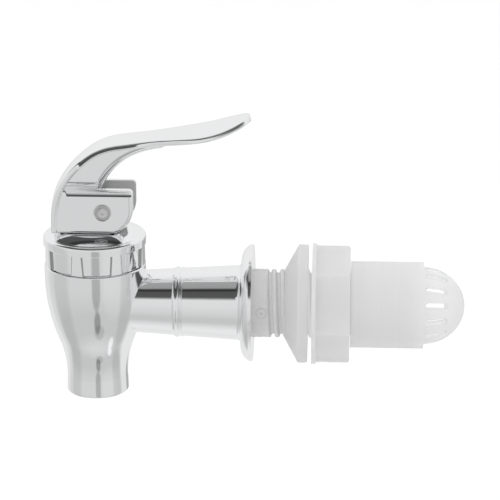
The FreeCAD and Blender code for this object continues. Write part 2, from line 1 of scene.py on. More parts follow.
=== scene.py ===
# %% [markdown]
# # A chrome lever spigot for a drinks dispenser
# The part hangs in a tank's wall by its white threaded shank. Its chrome end is a cup with a spout, a
# ridged screw cap and a lever. The solids are already there, in metres, so this lesson dresses them: it
# gives every surface its finish, cuts the thread that the plain shank lacks, and builds a small light
# tent around it all. Chrome has no colour of its own, so most of its look is what stands around it. That
# is why the tent comes before any finish. Lengths are in metres, as in the frame. Only the thread and the
# lever's shoulders are given in millimetres, as on a drawing.

# %% Load the fixed frame
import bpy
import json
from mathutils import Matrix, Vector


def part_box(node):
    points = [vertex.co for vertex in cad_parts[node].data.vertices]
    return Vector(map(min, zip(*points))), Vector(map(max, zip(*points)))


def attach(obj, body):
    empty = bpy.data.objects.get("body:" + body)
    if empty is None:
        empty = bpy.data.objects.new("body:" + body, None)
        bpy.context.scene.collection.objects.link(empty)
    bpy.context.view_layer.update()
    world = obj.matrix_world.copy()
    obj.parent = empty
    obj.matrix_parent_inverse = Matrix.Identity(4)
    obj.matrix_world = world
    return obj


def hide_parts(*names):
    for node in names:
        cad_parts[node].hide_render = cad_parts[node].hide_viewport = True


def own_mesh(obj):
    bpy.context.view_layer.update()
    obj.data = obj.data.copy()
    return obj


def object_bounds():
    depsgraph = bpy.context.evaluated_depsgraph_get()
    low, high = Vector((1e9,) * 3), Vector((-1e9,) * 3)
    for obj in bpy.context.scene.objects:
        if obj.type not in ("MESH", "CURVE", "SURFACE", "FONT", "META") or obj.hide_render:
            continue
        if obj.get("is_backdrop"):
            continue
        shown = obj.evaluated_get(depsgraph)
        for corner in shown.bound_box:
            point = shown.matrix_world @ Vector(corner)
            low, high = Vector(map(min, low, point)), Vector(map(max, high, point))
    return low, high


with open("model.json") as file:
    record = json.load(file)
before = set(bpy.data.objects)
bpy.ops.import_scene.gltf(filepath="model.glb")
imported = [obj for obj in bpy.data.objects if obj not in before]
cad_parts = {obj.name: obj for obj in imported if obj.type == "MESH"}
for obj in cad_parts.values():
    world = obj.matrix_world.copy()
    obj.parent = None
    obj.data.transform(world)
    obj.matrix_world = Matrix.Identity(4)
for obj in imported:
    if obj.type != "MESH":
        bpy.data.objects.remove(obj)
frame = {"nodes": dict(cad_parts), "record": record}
cad_box = [list(corner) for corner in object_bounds()]

import json
import math
import bpy
import numpy as np
from mathutils import Vector

MM_PER_METRE = 1000


def mm(metres, digits=1):
    """A length as text, for printing."""
    return f"{metres * MM_PER_METRE:.{digits}f} mm"


print("nodes:", sorted(frame["nodes"]))

# %% [markdown]
# ## The camera
# The picture was taken with a long lens from a little above and almost square to the side. Four numbers
# say it: the turn round the part, the height angle, the distance, and how many pixels a millimetre takes
# at the point that the camera looks at. The focal length follows from the last two. The lamps are aimed
# in the same way later.

# %% Camera
CAMERA_TURN = 2.7
CAMERA_HEIGHT = 18.3
CAMERA_DISTANCE = 0.483
LOOK_AT = Vector((-0.00074, 0.0, 0.01273))
PIXELS_PER_MM = 4.39
PICTURE_PIXELS = 500
SENSOR_MM = 36.0
NEAREST_SEEN = 0.01
FURTHEST_SEEN = 20.0


def direction(turn, height):
    """Unit vector from the part towards a turn and a height angle in degrees; turn 0 is -Y and 90 is +X."""
    t = math.radians(turn)
    h = math.radians(height)
    return Vector((math.sin(t) * math.cos(h), -math.cos(t) * math.cos(h), math.sin(h)))


def aim(thing, turn, height, distance):
    """Put a camera or lamp into the scene at a turn, a height angle and a distance, looking at the part."""
    bpy.context.scene.collection.objects.link(thing)
    towards = direction(turn, height)
    thing.location = LOOK_AT + towards * distance
    thing.rotation_mode = "QUATERNION"
    thing.rotation_quaternion = (-towards).to_track_quat("-Z", "Y")


camera = bpy.data.objects.new("camera", bpy.data.cameras.new("camera"))
aim(camera, CAMERA_TURN, CAMERA_HEIGHT, CAMERA_DISTANCE)
camera.data.sensor_width = SENSOR_MM
camera.data.lens = PIXELS_PER_MM * MM_PER_METRE * CAMERA_DISTANCE / PICTURE_PIXELS * SENSOR_MM
camera.data.clip_start = NEAREST_SEEN
camera.data.clip_end = FURTHEST_SEEN
bpy.context.scene.camera = camera
print("focal length", round(camera.data.lens, 1), "mm")

# %% [markdown]
# ## Shader sums as plain Python
# A node tree is easier to read as a formula. One small class wraps an output socket, and its operators
# add the Math node that does the sum. Its steps, above and below a limit, are how most masks here are
# made: each limit is a pair, the place of the step and how wide its soft edge is.

# %% A socket that can be added and multiplied
class Value:
    """An output socket. Sums of values add Math nodes to the same tree."""

    def __init__(self, finish, socket):
        self.finish = finish
        self.socket = socket

    def __add__(self, other):
        return self.finish.maths("ADD", self, other)

    def __radd__(self, other):
        return self.finish.maths("ADD", other, self)

    def __sub__(self, other):
        return self.finish.maths("SUBTRACT", self, other)

    def __rsub__(self, other):
        return self.finish.maths("SUBTRACT", other, self)

    def __mul__(self, other):
        return self.finish.maths("MULTIPLY", self, other)

    def __rmul__(self, other):
        return self.finish.maths("MULTIPLY", other, self)

    def sine(self):
        return self.finish.maths("SINE", self)

    def absolute(self):
        return self.finish.maths("ABSOLUTE", self)

    def above(self, limit, soft):
        """0 below the limit, 1 above it, with a smooth step of the given width."""
        return self.finish.node("ShaderNodeMapRange", {"interpolation_type": "SMOOTHSTEP"},
                                {"Value": self, "From Min": limit - soft / 2, "From Max": limit + soft / 2})

    def below(self, limit, soft):
        """1 below the limit, 0 above it."""
        return 1 - self.above(limit, soft)


def oval(first, second, centre, half):
    """An ellipse's own sum of squares: 0 in its centre, 1 on its outline and more outside it."""
    across = (first - centre[0]) * (1 / half[0])
    along = (second - centre[1]) * (1 / half[1])
    return across * across + along * along


print("a value can be added, subtracted, multiplied, and cut at a limit")

# %% [markdown]
# ## One method for every node
# Everything else comes from one method that takes a node's type, its settings and the values or links of
# its sockets. The others below it are short names for the nodes that this part uses most. A noise is
# given by its scale and its detail, and a bump by its strength and its height in metres.

# %% A finish under construction
class Finish:
    """A node tree under construction: a material's or the world's."""

    def __init__(self, owner):
        owner.use_nodes = True
        self.owner = owner
        self.tree = owner.node_tree
        self.tree.nodes.clear()

    def node(self, kind, settings=None, inputs=None, output=0):
        """Any node: its settings first, a ramp's stops among them, then its sockets' values or links."""
        made = self.tree.nodes.new(kind)
        for name, setting in (settings or {}).items():
            if name == "stops":
                marks = made.color_ramp.elements
                marks[0].position, marks[0].color = setting[0]
                marks[1].position, marks[1].color = setting[-1]
                for position, colour in setting[1:-1]:
                    marks.new(position).color = colour
            else:
                setattr(made, name, setting)
        for name, given in (inputs or {}).items():
            socket = made.inputs[name]
            if isinstance(given, Value):
                self.tree.links.new(given.socket, socket)
            else:
                socket.default_value = given
        return Value(self, made.outputs[output]) if made.outputs else made

    def maths(self, operation, *given):
        """A Math node on one or two numbers or values."""
        return self.node("ShaderNodeMath", {"operation": operation}, dict(enumerate(given)))

    def place(self):
        """The point on the surface, in metres in the part's own frame."""
        return self.node("ShaderNodeTexCoord", output="Object")

    def axis(self, vector, name):
        return self.node("ShaderNodeSeparateXYZ", {}, {0: vector}, output=name)

    def xyz(self):
        """The three coordinates of the point on the surface."""
        place = self.place()
        return [self.axis(place, name) for name in "XYZ"]

    def noise(self, scale, detail, vector=None):
        inputs = {"Vector": vector or self.place(), "Scale": scale, "Detail": detail}
        return self.node("ShaderNodeTexNoise", {}, inputs)

    def mix(self, share, first, second):
        """A colour between two colours; each is a tuple or a value."""
        inputs = {"Factor": share, 6: first, 7: second}
        return self.node("ShaderNodeMix", {"data_type": "RGBA"}, inputs, output=2)

    def bump(self, height, strength, distance, normal=None):
        inputs = {"Height": height, "Strength": strength, "Distance": distance}
        if normal is not None:
            inputs["Normal"] = normal
        return self.node("ShaderNodeBump", {}, inputs)

    def surface(self, **sockets):
        """The Principled shader, its sockets named with underscores for spaces."""
        inputs = {name.replace("_", " "): value for name, value in sockets.items()}
        shader = self.node("ShaderNodeBsdfPrincipled", {}, inputs)
        self.node("ShaderNodeOutputMaterial", {}, {"Surface": shader})
        return self.owner


def new_finish(name):
    return Finish(bpy.data.materials.new(name))


print("a material or the world is made by a Finish")

# %% [markdown]
# ## Greys
# All colours here are greys or nearly so. A grey is easiest to compare with a picture as a level from 0
# to 255, but a shader sums light, so the level goes through the screen's own curve: a short straight
# foot, then a power.

# %% Greys
WHITE = 255
CURVE_FOOT = 0.04045
FOOT_SLOPE = 12.92
CURVE_OFFSET = 0.055
CURVE_POWER = 2.4


def even_colour(strength):
    return strength, strength, strength, 1.0


def grey(level):
    """A screen grey from 0 to 255 as a linear colour."""
    share = level / WHITE
    if share <= CURVE_FOOT:
        return even_colour(share / FOOT_SLOPE)
    return even_colour(((share + CURVE_OFFSET) / (1 + CURVE_OFFSET)) ** CURVE_POWER)


print("white is", grey(WHITE)[0], "and level 128 is", round(grey(128)[0], 3))

# %% [markdown]
# ## The light tent
# A product photographer hangs white cloth all round a chrome part, so that it reflects white, and leaves
# a few darker openings, which draw the dark bands that show its form. Here the world is that tent. Seen
# straight, it is plain white. Seen in the chrome, its grey depends on the height angle, with one list for
# the camera's side and one for the far side: there is a dark gap above the camera, a greyer roof, and
# white cloth behind.

# %% Tent cloth, as greys by height angle
CLOTH_IN_FRONT = ((-90, 234), (-75, 228), (-61, 212), (-50, 196), (-37, 196), (-26, 205), (-15, 211),
                  (5, 219), (24, 220), (29, 150), (33, 84), (50, 80), (55, 48), (59, 60), (64, 150),
                  (77, 157), (90, 163))
CLOTH_BEHIND = ((-90, 234), (-70, 226), (-50, 230), (-25, 226), (-17, 222), (-9, 224), (6, 232), (48, 236),
                (64, 234), (76, 226), (84, 185), (90, 163))
FAR_SIDE = (0.2, 0.24)

tent = Finish(bpy.data.worlds.new("light_tent"))
bpy.context.scene.world = tent.owner
ray = tent.node("ShaderNodeTexCoord", output="Generated")
sideways, away, upwards = (tent.axis(ray, name) for name in "XYZ")
height = tent.maths("ARCSINE", upwards) * math.degrees(1)
turn = tent.maths("ARCTAN2", sideways, away * -1) * math.degrees(1)


def share_of_rise(angle):
    """A height angle, as a number or a value, from -90 to 90 degrees, brought into 0 to 1."""
    return angle * (1 / 180) + 0.5


def cloth(greys):
    """The grey of one side of the tent at the ray's height angle."""
    stops = [(share_of_rise(angle), grey(level)) for angle, level in greys]
    return tent.node("ShaderNodeValToRGB", {"stops": stops}, {0: share_of_rise(height)})


both_sides = tent.mix(away.above(*FAR_SIDE), cloth(CLOTH_IN_FRONT), cloth(CLOTH_BEHIND))
print("cloth stops:", len(CLOTH_IN_FRONT), "in front,", len(CLOTH_BEHIND), "behind")

# %% [markdown]
# ## Openings and folds in the tent
# The cup is a round mirror, so anything that stands upright beside the camera shows in it as a thin
# upright line. The real tent had a dark slit right of the lens, wider low down, and its side walls were a
# little greyer. Each is a soft oval patch in turn and height angle that multiplies the cloth's
# brightness.

# %% Patches
# The middle as turn and height angle, half the width and half the height, and the factor inside.
PATCHES = (
    ((7, -22), (10, 13), 0.66),
    ((9, -43), (9, 9), 0.56),
    ((14, -50), (16, 6), 0.80),
    ((60, -56), (9, 5), 1.4),
    ((50, -22), (28, 18), 1.06),
    ((-92, -25), (34, 45), 0.86),
    ((84, -20), (20, 40), 0.86),
    ((152, -16), (15, 12), 0.55),
)
PATCH_OUTLINE = (0.9, 0.9)


def patch(middle, half, factor):
    """The factor inside an oval of angles, 1 outside it: the oval's sum of squares, softly cut near 1."""
    outside = oval(turn, height, middle, half).above(*PATCH_OUTLINE)
    return outside * (1 - factor) + factor


brightness = patch(*PATCHES[0])
for opening in PATCHES[1:]:
    brightness = brightness * patch(*opening)
cloth_colour = tent.node("ShaderNodeMix", {"data_type": "RGBA", "blend_type": "MULTIPLY"},
                         {"Factor": 1.0, 6: both_sides, 7: brightness}, output=2)
print("patches:", len(PATCHES))

# %% [markdown]
# ## Who sees what
# The camera, and anything seen through a clear piece, gets plain white. A mirror gets the tent. All other
# light is an even white at a plain level, so that a colour renders about as it is written.

# %% World
CLOTH_BRIGHTNESS = 1.08
EVEN_LIGHT = 0.87


def background(colour, strength):
    return tent.node("ShaderNodeBackground", {}, {"Color": colour, "Strength": strength})


in_mirror = background(cloth_colour, CLOTH_BRIGHTNESS)
plain_white = background(grey(WHITE), 1.0)
even_light = background(grey(WHITE), EVEN_LIGHT)
camera_ray = tent.node("ShaderNodeLightPath", output="Is Camera Ray")
mirror_ray = tent.node("ShaderNodeLightPath", output="Is Glossy Ray")
through_ray = tent.node("ShaderNodeLightPath", output="Is Transmission Ray")
lit = tent.node("ShaderNodeMixShader", {}, {0: mirror_ray, 1: even_light, 2: in_mirror})
straight = tent.maths("MAXIMUM", camera_ray, through_ray)
seen = tent.node("ShaderNodeMixShader", {}, {0: straight, 1: lit, 2: plain_white})
tent.node("ShaderNodeOutputWorld", {}, {"Surface": seen})
print("even light", EVEN_LIGHT)

# %% [markdown]
# ## Surfaces from numpy
# Every new surface here is a grid of points, u rows by v columns, worked out as one array. One helper
# makes the mesh: it joins neighbours into quads, and joins the last row or column to the first where the
# form closes.

# %% A mesh from a grid
SHARP_ANGLE = 32


def mesh_from_grid(name, grid, close_u=False, close_v=False):
    """A mesh object from an array of points u by v by 3. Edges sharper than SHARP_ANGLE stay crisp."""
    rows, columns = grid.shape[:2]
    index = np.arange(rows * columns).reshape(rows, columns)
    if close_u:
        index = np.vstack([index, index[:1]])
    if close_v:
        index = np.hstack([index, index[:, :1]])
    corners = [index[:-1, :-1], index[1:, :-1], index[1:, 1:], index[:-1, 1:]]
    faces = np.stack(corners, axis=-1).reshape(-1, 4)
    mesh = bpy.data.meshes.new(name)
    mesh.from_pydata(grid.reshape(-1, 3), [], faces)
    mesh.polygons.foreach_set("use_smooth", np.ones(len(faces), bool))
    mesh.set_sharp_from_angle(angle=math.radians(SHARP_ANGLE))
    made = bpy.data.objects.new(name, mesh)
    bpy.context.scene.collection.objects.link(made)
    print(name, len(faces), "faces")
    return made


# %% [markdown]
# ## Floor
# The spigot is held by its shank, so the floor lies well below the spout. It is a plain sheet of white
# paper. For the camera it glows a little, which brings it up to white and still lets it keep the part's
# soft shadow. Mirrors look past it into the tent, which has its own white floor.

# %% Floor
FLOOR_DROP = 0.075
FLOOR_SIZE = 6.0
FLOOR_STEPS = 5
PAPER = (grey(243), grey(240))
PAPER_FIBRE = (40.0, 4.0)
PAPER_GLOW = 0.205

floor_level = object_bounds()[0].z - FLOOR_DROP


def sheet_grid(size, level, steps):
    """A flat square grid: x and y run over the square, z is the level."""
    side = np.linspace(-size / 2, size / 2, steps)
    x, y = np.meshgrid(side, side, indexing="ij")
    return np.stack([x, y, np.full_like(x, level)], axis=-1)


def paper_finish():
    f = new_finish("white_paper")
    sheet = f.node("ShaderNodeBsdfDiffuse", {}, {"Color": f.mix(f.noise(*PAPER_FIBRE), *PAPER)})
    seen_straight = f.node("ShaderNodeLightPath", output="Is Camera Ray")
    glow = f.node("ShaderNodeEmission", {}, {"Color": grey(WHITE), "Strength": seen_straight * PAPER_GLOW})
    both = f.node("ShaderNodeAddShader", {}, {0: sheet, 1: glow})
    f.node("ShaderNodeOutputMaterial", {}, {"Surface": both})
    return f.owner


floor = mesh_from_grid("studio_floor", sheet_grid(FLOOR_SIZE, floor_level, FLOOR_STEPS))
floor.data.materials.append(paper_finish())
floor.visible_glossy = False
floor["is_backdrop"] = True
print("floor at", mm(floor_level))

# %% [markdown]
# ## Lamps
# The tent gives even light, which would leave the plastic without form. Two large soft lamps, one almost
# overhead and one from the left, give it a light and a dark side. The mirrors don't see them.

# %% Lamps
LAMP_DISTANCE = 0.6
# Turn, height angle, size in metres and power in watts.
LAMPS = {
    "roof_light": (10, 75, 0.5, 0.6),
    "left_light": (-60, 30, 0.4, 0.3),
}


def soft_box(name, turn, height, size, watts):
    """A square area lamp that looks at the part."""
    lamp = bpy.data.objects.new(name, bpy.data.lights.new(name, "AREA"))
    lamp.data.size = size
    lamp.data.energy = watts
    lamp.visible_glossy = False
    aim(lamp, turn, height, LAMP_DISTANCE)


for name, numbers in LAMPS.items():
    soft_box(name, *numbers)
print("lamps:", *LAMPS)

# %% [markdown]
# ## Chrome plating
# Plated plastic is a mirror with a very slight orange-peel waviness from the moulding, and a faint haze
# that comes and goes where it has been wiped. Its edges are never knife sharp, because plating builds up
# on them, and each rounded edge draws a bright and a dark line. The Bevel node rounds them for the light
# only, so the solid keeps its own shape.

# %% Chrome
CHROME = (0.93, 0.935, 0.94, 1.0)
HAZED_CHROME = (0.90, 0.905, 0.915, 1.0)
HAZE = (90.0, 3.0)
MIRROR_ROUGHNESS = 0.02
HAZE_ROUGHNESS = 0.03
RIPPLE = (260.0, 1.0)
RIPPLE_BUMP = (0.02, 0.0004)
EDGE_SAMPLES = 6
BODY_EDGE = 0.00022


def plating(name, edge):
    """What all plated pieces share: the finish, its colour, its roughness and a normal with round edges."""
    f = new_finish(name)
    haze = f.noise(*HAZE)
    rounded = f.node("ShaderNodeBevel", {"samples": EDGE_SAMPLES}, {"Radius": edge})
    return f, f.mix(haze, CHROME, HAZED_CHROME), haze * HAZE_ROUGHNESS + MIRROR_ROUGHNESS, rounded


def plated(f, colour, rough, normal, metal=1.0):
    rippled = f.bump(f.noise(*RIPPLE), *RIPPLE_BUMP, normal)
    return f.surface(Base_Color=colour, Metallic=metal, Roughness=rough, Normal=rippled)


body_chrome = plated(*plating("chrome_plating", BODY_EDGE))
print("the body's edges are rounded by", mm(BODY_EDGE, 2))

# %% [markdown]
# ## The cap's ridges
# The cap is turned by its ridges, whose edges are softer than the body's. The corners at their sides hold
# little light, so a thin line of painted shade, a darker chrome colour, runs along each side of a ridge and
# narrows upwards. Folding the angle round the cap back and forth finds the nearest ridge.

# %% Cap chrome
CAP_EDGE = 0.0003
VALVE_X = -0.0362
CAP_RADIUS = 0.01175
RIDGES = 8
RIDGE_TURN = -14.0
RIDGE_HALF = (0.00145, 0.0011)
RIDGE_Z = (0.0094, 0.01415)
RIDGE_TOP = (RIDGE_Z[1], 0.0002)
CORNER_HALF = 0.0001
CORNER_LINE = (CORNER_HALF / CAP_RADIUS, 0.008)
# Painted shade: the darker chrome colour of the lines beside the ridges.
CORNER_SHADE_CHROME = grey(172)


def ridge_corner_shade(f):
    """1 on the lines beside the ridges. The angle from the nearest ridge's middle, less the ridge's half
    width over the cap's radius, is 0 on its side."""
    x, y, z = f.xyz()
    angle = f.maths("ARCTAN2", x - VALVE_X, y * -1) - math.radians(RIDGE_TURN)
    folded = f.maths("PINGPONG", angle, math.pi / RIDGES)
    narrowing = (RIDGE_HALF[1] - RIDGE_HALF[0]) / (RIDGE_Z[1] - RIDGE_Z[0])
    half = (z - RIDGE_Z[0]) * narrowing + RIDGE_HALF[0]
    beside = (folded - half * (1 / CAP_RADIUS)).absolute()
    return beside.below(*CORNER_LINE) * z.below(*RIDGE_TOP)


def cap_finish():
    f, colour, rough, normal = plating("cap_chrome", CAP_EDGE)
    # The lines beside the ridges are mixed towards the darker chrome: painted shade in the corners.
    return plated(f, f.mix(ridge_corner_shade(f), colour, CORNER_SHADE_CHROME), rough, normal)


cap_chrome = cap_finish()
print("ridges:", RIDGES)

# %% [markdown]
# ## Where the lever slopes
# The sheet's rim is ground to a slope where the neck turns over into the paddle, and a little towards the
# tip. The top of each cheek rolls over too: once from a lower height, and twice as much from an upper
# one. Both slopes face the dark gap above the camera, which gives the lever its dark lines. They are too
# slight for the solid, so masks find them by place, and the next cell leans the normal there.

# %% Where the lever slopes
NECK_START = (-0.0388, 0.0012)
NECK_END = (-0.0250, 0.007)
PADDLE_TIP = (-0.0140, 0.005)
TIP_SHARE = 0.55
RIM_INSIDE = (0.0026, 0.0004)
RIM_FOOT = (0.0305, 0.002)
UNDERSIDE = (-0.5, 0.4)
CHEEK_SIDE = (0.0049, 0.0002)
CHEEK_FRONT = (-0.0418, 0.0005)
CHEEK_TOP = (0.0281, 0.0002)
ROLL_START = (0.02645, 0.0001)
ROLL_DOUBLES = (0.02695, 0.0002)


def ground_rim(x, across, z, facing_up):
    """1 on the rim round the neck and TIP_SHARE on it towards the tip, but 0 on the sheet's underside."""
    ground = x.above(*NECK_START) * x.below(*NECK_END) + x.above(*PADDLE_TIP) * TIP_SHARE
    return across.above(*RIM_INSIDE) * z.above(*RIM_FOOT) * ground * facing_up.above(*UNDERSIDE)


def cheek_roll(x, across, z):
    """1 along the top of each cheek's outer face, and 2 on the uppermost strip."""
    outer_face = across.above(*CHEEK_SIDE) * x.above(*CHEEK_FRONT) * z.below(*CHEEK_TOP)
    return outer_face * (z.above(*ROLL_START) + z.above(*ROLL_DOUBLES))


print("the rim slopes from x", mm(NECK_START[0]), "to", mm(NECK_END[0]))

# %% [markdown]
# ## The lever's chrome
# A slope is written as a normal that leans upwards: some of the Z direction is added to it, and the sum
# is made one long again. Between the fork's cheeks the plating is thin and dull, as no current reaches
# there, so that a light's way doesn't get lost between two mirrors.

# %% Lever chrome
LEVER_EDGE = 0.00025
LEAN = 0.62
FORK_SIDE = (0.00345, 0.0002)
FORK_TOP = (0.0284, 0.0003)
FORK_FRONT = (-0.0425, 0.001)
THIN_CHROME = grey(206)
THIN_DULLNESS = 0.65
THIN_ROUGHNESS = 0.3


def up_by(f, normal, lean):
    """The normal, leaning upwards: lean times the Z direction is added to it and the sum made one long."""
    up = f.node("ShaderNodeVectorMath", {"operation": "SCALE"}, {0: (0.0, 0.0, 1.0), "Scale": lean})
    leant = f.node("ShaderNodeVectorMath", {"operation": "ADD"}, {0: normal, 1: up})
    return f.node("ShaderNodeVectorMath", {"operation": "NORMALIZE"}, {0: leant})


def lever_finish():
    f, colour, rough, normal = plating("lever_chrome", LEVER_EDGE)
    x, y, z = f.xyz()
    across = y.absolute()
    facing_up = f.axis(f.node("ShaderNodeNewGeometry", output="Normal"), "Z")
    lean = (ground_rim(x, across, z, facing_up) + cheek_roll(x, across, z)) * LEAN
    inside = across.below(*FORK_SIDE) * z.below(*FORK_TOP) * x.above(*FORK_FRONT)
    return plated(f, f.mix(inside, colour, THIN_CHROME), rough + inside * THIN_ROUGHNESS,
                  up_by(f, normal, lean), metal=1 - inside * THIN_DULLNESS)


lever_chrome = lever_finish()
print("slopes lean by", LEAN)

# %% [markdown]
# ## The pin's ends
# The pin is steel, pressed in and not plated. Its end was dished by the tool that set it, so it shows as
# a duller disc with a greyer ring. The ring follows the distance from the pin's own axis, which runs
# across the lever.

# %% Pin
PIN_STEEL = grey(228)
RING_STEEL = grey(196)
SCUFFED_STEEL = grey(182)
RING_START = (0.30, 0.3)
RING_END = (0.86, 0.2)
RING_BUMP = (0.5, 0.0002)
SCUFF = (1500.0, 3.0)
SCUFF_SHARE = 0.3
PIN_ROUGHNESS = 0.24
SCUFF_ROUGHNESS = 0.1

pin_low, pin_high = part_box("pivot_pin")
pin_middle = ((pin_low.x + pin_high.x) / 2, (pin_low.z + pin_high.z) / 2)
pin_radius = (pin_high.x - pin_low.x) / 2


def pin_finish():
    f = new_finish("set_pin_steel")
    x, _, z = f.xyz()
    out = oval(x, z, pin_middle, (pin_radius, pin_radius))
    ring = out.above(*RING_START) * out.below(*RING_END)
    scuff = f.noise(*SCUFF)
    tone = f.mix(ring, PIN_STEEL, RING_STEEL)
    return f.surface(Base_Color=f.mix(scuff * SCUFF_SHARE, tone, SCUFFED_STEEL), Metallic=1.0,
                     Roughness=scuff * SCUFF_ROUGHNESS + PIN_ROUGHNESS, Normal=f.bump(ring, *RING_BUMP))


pin_steel = pin_finish()
print("pin radius", mm(pin_radius, 2))

# %% [markdown]
# ## White plastic and silicone
# The shank, nut and strainer are natural polypropylene: milky, so that light that enters it comes out again
# all round, and shadows between the pieces stay pale. Part of the light passes through each skin, roughly
# scattered, and part is scattered just below it. What arrives through the walls from the far side is
# painted as a faint glow. This painted light lifts the shade all over the skin, and it is stronger in the
# two hollows, where it lightens the shade: the gap before the nut, and inside the dome.

# %% Milky surface
MILK = {
    "Transmission_Weight": 0.35,
    "Subsurface_Weight": 0.5,
    "Subsurface_Radius": (0.004, 0.004, 0.004),
    "Subsurface_Scale": 1.0,
    "IOR": 1.4,
    "Emission_Strength": 1.0,
}
SKIN_GLOW = even_colour(0.11)
HOLLOW_GLOW = even_colour(0.22)
GAP_START = (0.0122, 0.0004)
GAP_END = (0.0139, 0.0004)
GAP_RADIUS = (0.0124, 0.001)
DOME_START = (0.03892, 0.001)
DOME_RADIUS = 0.0088
DOME_LENGTH = 0.0094
DOME_SKIN = (0.9, 0.16)
CLOUD_ROUGHNESS = 0.12


# Where this mask is 1, the painted glow is stronger and lightens the shade in the hollow.
def hollows(f):
    """1 in the hollows. The gap is found by x and by the square of the distance from the shank's axis, in
    which a soft edge is twice the radius times its width. The dome's inside is found by its ellipse's sum
    of squares, which is 1 on its outer skin."""
    x, y, z = f.xyz()
    from_axis = y * y + z * z
    gap_rim, rim_soft = GAP_RADIUS
    in_gap = x.above(*GAP_START) * x.below(*GAP_END) * from_axis.below(gap_rim ** 2, 2 * gap_rim * rim_soft)
    along = (x - DOME_START[0]) * (1 / DOME_LENGTH)
    out = along * along + from_axis * DOME_RADIUS ** -2
    return in_gap + x.above(*DOME_START) * out.below(*DOME_SKIN)


def milky_surface(f, colour, cloud, roughness, normal):
    # The glow is painted light: an emission that lifts the plastic's shade.
    glow = f.mix(hollows(f), SKIN_GLOW, HOLLOW_GLOW)
    return f.surface(Base_Color=colour, Roughness=cloud * CLOUD_ROUGHNESS + roughness, Emission_Color=glow,
                     Normal=normal, **MILK)


print("glow", SKIN_GLOW[0], "on the skin and", HOLLOW_GLOW[0], "in the hollows")

# %% [markdown]
# ## The nut and the silicone pieces
# Moulded plastic is never one even white: it clouds a little where it cooled more slowly, and its skin
# has the fine grain of the mould. The nut and the silicone differ in level and in roughness only.

# %% Milky plastics
CLOUD = (120.0, 3.0)
CLOUD_DARKER = 6
SKIN_GRAIN = (2600.0, 2.0)
SKIN_BUMP = (0.08, 0.0001)


def milky_finish(name, level, roughness):
    f = new_finish(name)
    cloud = f.noise(*CLOUD)
    colour = f.mix(cloud, grey(level), grey(level - CLOUD_DARKER))
    return milky_surface(f, colour, cloud, roughness, f.bump(f.noise(*SKIN_GRAIN), *SKIN_BUMP))


nut_plastic = milky_finish("nut_plastic", level=220, roughness=0.42)
silicone = milky_finish("clear_silicone", level=213, roughness=0.5)
print("made:", nut_plastic.name, "and", silicone.name)

# %% [markdown]
# ## The mark on the shank
# A mark of the mould's gate stands on the plain stretch next to the flange: a shallow round pad with a
# small dot. It is drawn by bump and tone alone, from the distance to the mark's middle, and only on the
# camera's side.

# %% Gate mark
GATE = (0.00218, 0.0002)
GATE_RADIUS = 0.00132
GATE_DOT = 0.0003
NEAR_SIDE = (0.0, 0.001)
PAD_EDGE = (1.0, 0.35)
RIM_START = (0.5, 0.5)
RIM_END = (1.05, 0.35)
PAD_DEPTH = 0.6
DOT_DEPTH = 0.4
RIM_SHARE = 0.35
DOT_SHARE = 0.7


def gate_mark(x, y, z):
    """The mark's height, 1 outside the pad, and how grey it is, both on the camera's side only. The oval's
    sum is 1 on the pad's edge, so on the dot's edge it is the square of the two radii's ratio."""
    out = oval(x, z, GATE, (GATE_RADIUS, GATE_RADIUS))
    near_side = y.below(*NEAR_SIDE)
    dot_edge = (GATE_DOT / GATE_RADIUS) ** 2
    pad = (out.above(*PAD_EDGE) * PAD_DEPTH + out.above(dot_edge, dot_edge) * DOT_DEPTH) * near_side
    rim = out.above(*RIM_START) * out.below(*RIM_END) * near_side
    dot = out.below(dot_edge, dot_edge) * near_side
    return pad, rim * RIM_SHARE + dot * DOT_SHARE


print("gate mark radius", mm(GATE_RADIUS, 2))

# %% [markdown]
# ## The shank's skin
# Behind the gate mark the thread starts. The flank that falls away behind each crest gets painted shade: it
# is written a little greyer. It is found by the thread's phase, which grows by a full circle with each
# pitch and falls with the turn.

# %% Shank plastic
PITCH = 1.93
CREST_OFFSET = 0.466
THREAD_START = 3.3
THREADED = (THREAD_START / MM_PER_METRE, 0.0006)
FLANK_SINE = (0.6, 0.5)
FLANK_SHADE_SHARE = 0.7
SHANK_GREYS = (grey(216), grey(211))
MARK_AND_SHADE_GREY = grey(176)
SHANK_ROUGHNESS = 0.4
PAD_BUMP = (1.0, 0.0003)


def thread_phase(f, x, y, z):
    """The phase in radians: x over the pitch, as full circles, less the angle turned about X."""
    return x * (2 * math.pi * MM_PER_METRE / PITCH) - f.maths("ARCTAN2", z, y)


def shank_finish():
    f = new_finish("shank_plastic")
    cloud = f.noise(*CLOUD)
    x, y, z = f.xyz()
    pad, mark = gate_mark(x, y, z)
    past_crest = thread_phase(f, x, y, z) - 2 * math.pi * CREST_OFFSET / PITCH
    flank_shade = past_crest.sine().above(*FLANK_SINE) * x.above(*THREADED)
    # The gate mark's tone and the painted shade on the flanks both mix towards the same darker grey.
    colour = f.mix(mark + flank_shade * FLANK_SHADE_SHARE, f.mix(cloud, *SHANK_GREYS), MARK_AND_SHADE_GREY)
    return milky_surface(f, colour, cloud, SHANK_ROUGHNESS, f.bump(pad, *PAD_BUMP))


shank_plastic = shank_finish()
print("thread pitch", PITCH, "mm")

# %% [markdown]
# ## The thread
# The solid shank is plain, as wide as the thread's crests. The real one carries a coarse moulded thread
# with rounded flanks. Its surface is a profile turned about X whose radius also depends on the turn:
# going once round moves the crest along by one pitch. The whole shank is made new, plug, groove and bore
# too, and replaces the solid.

